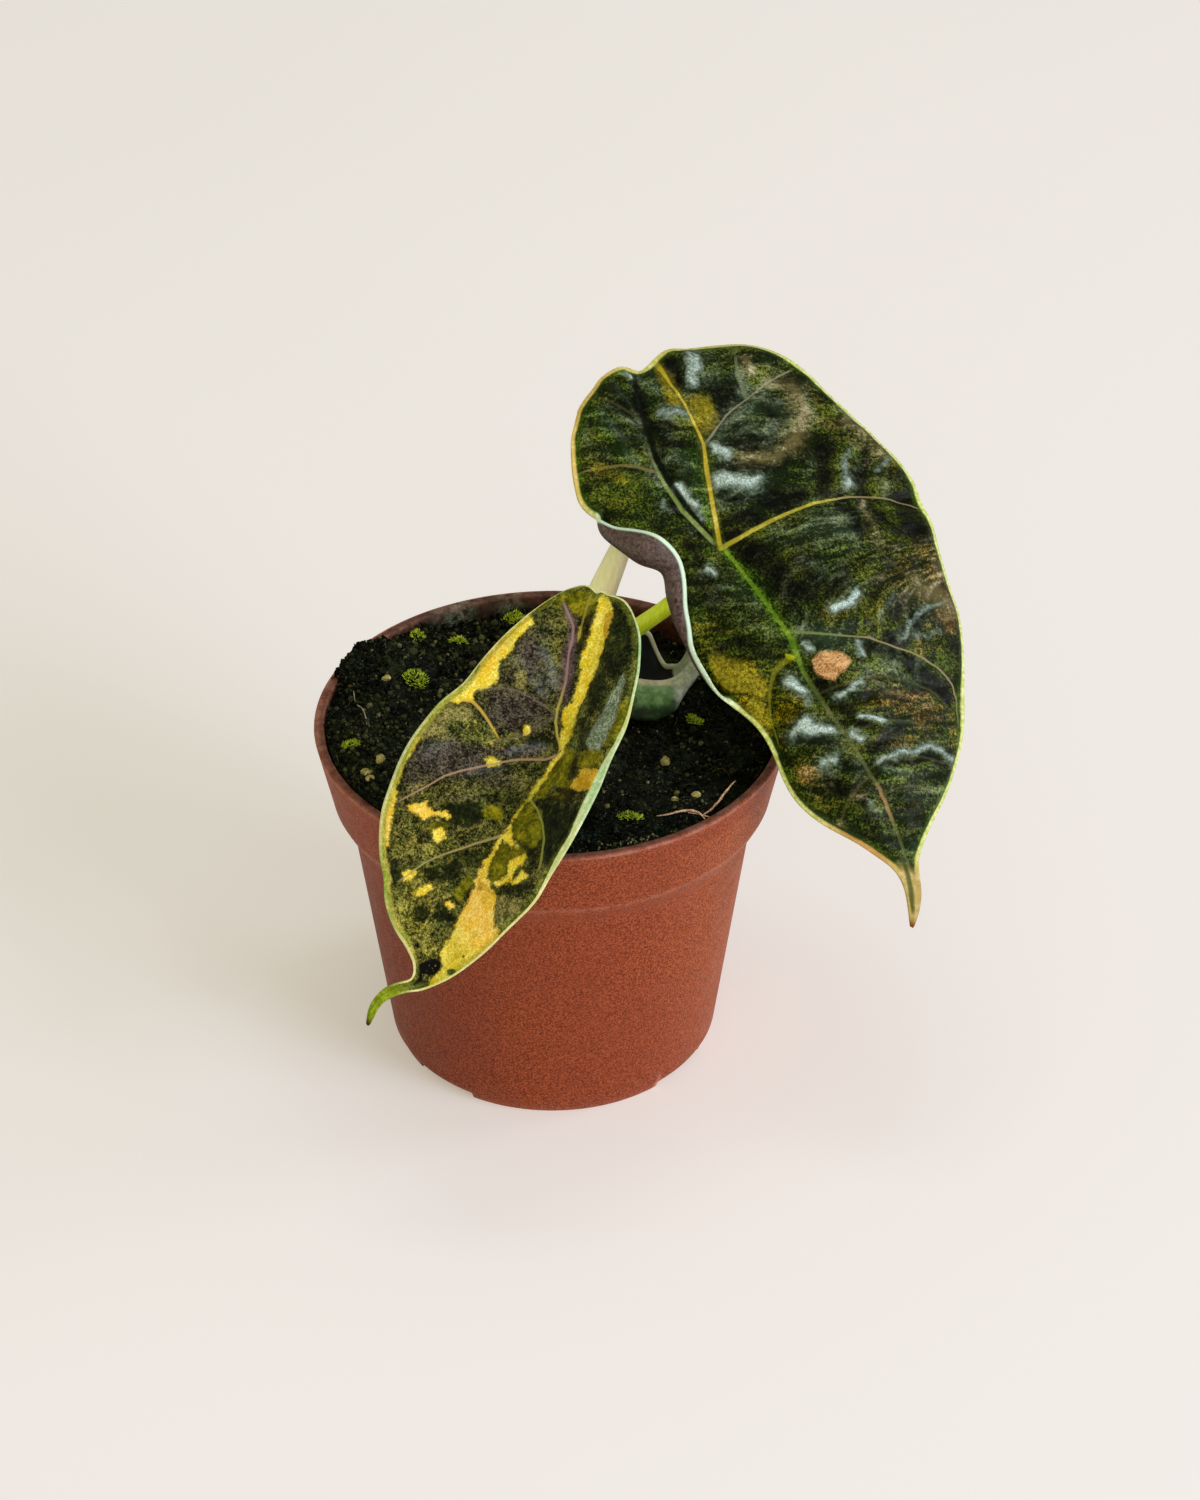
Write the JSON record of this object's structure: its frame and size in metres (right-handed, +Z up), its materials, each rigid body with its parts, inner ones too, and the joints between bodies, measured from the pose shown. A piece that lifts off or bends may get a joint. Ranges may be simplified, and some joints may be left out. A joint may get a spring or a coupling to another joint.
{
  "type": "potted plant",
  "caption": "Tapered nursery pot filled with peat, holding a young plant with drooping glossy leaves on slender stalks, a pale new shoot and a small cupped leaf.",
  "frame": {"origin": "centre of the pot's flat underside, on the surface it stands on", "axes": "+Z up along the pot's axis, +X to the right and -Y towards the viewer of the picture, so the small leaf hangs over the front rim and the large leaf over the right of the pot"},
  "size_m": [0.1151, 0.0992, 0.1211],
  "materials": {
    "pot_plastic": "matt terracotta-red moulded plastic with fine speckle",
    "peat": "rough moist dark peat",
    "dark_blade": "glossy puckered dark green and bronze leaf with yellow-green veins",
    "variegated_blade": "satin dark purple-green leaf with yellow patches",
    "lime_stalk": "smooth satin lime-green stalk",
    "pale_stalk": "smooth satin pale cream-green stalk",
    "juvenile_blade": "matt pale green young leaf",
    "root": "dry tan root",
    "moss": "soft bright green moss",
    "chip": "dry tan chips"
  },
  "bodies": {
    "root": {"nursery_pot": "pot_plastic", "potting_soil": "peat", "large_leaf_blade": "dark_blade", "small_leaf_blade": "variegated_blade", "large_leaf_petiole": "lime_stalk", "small_leaf_petiole": "pale_stalk", "new_leaf_spear": "pale_stalk", "juvenile_leaf": "juvenile_blade", "juvenile_leaf_petiole": "juvenile_blade", "root_twig": "root", "root_fibre": "root", "moss_tuft_1": "moss", "moss_tuft_2": "moss", "moss_tuft_3": "moss", "moss_tuft_4": "moss", "moss_tuft_5": "moss", "moss_tuft_6": "moss", "moss_tuft_7": "moss", "soil_chip_1": "chip", "soil_chip_2": "chip", "soil_chip_3": "chip", "soil_chip_4": "chip", "soil_chip_5": "chip", "soil_chip_6": "chip", "soil_chip_7": "chip"}
  },
  "joints": []
}
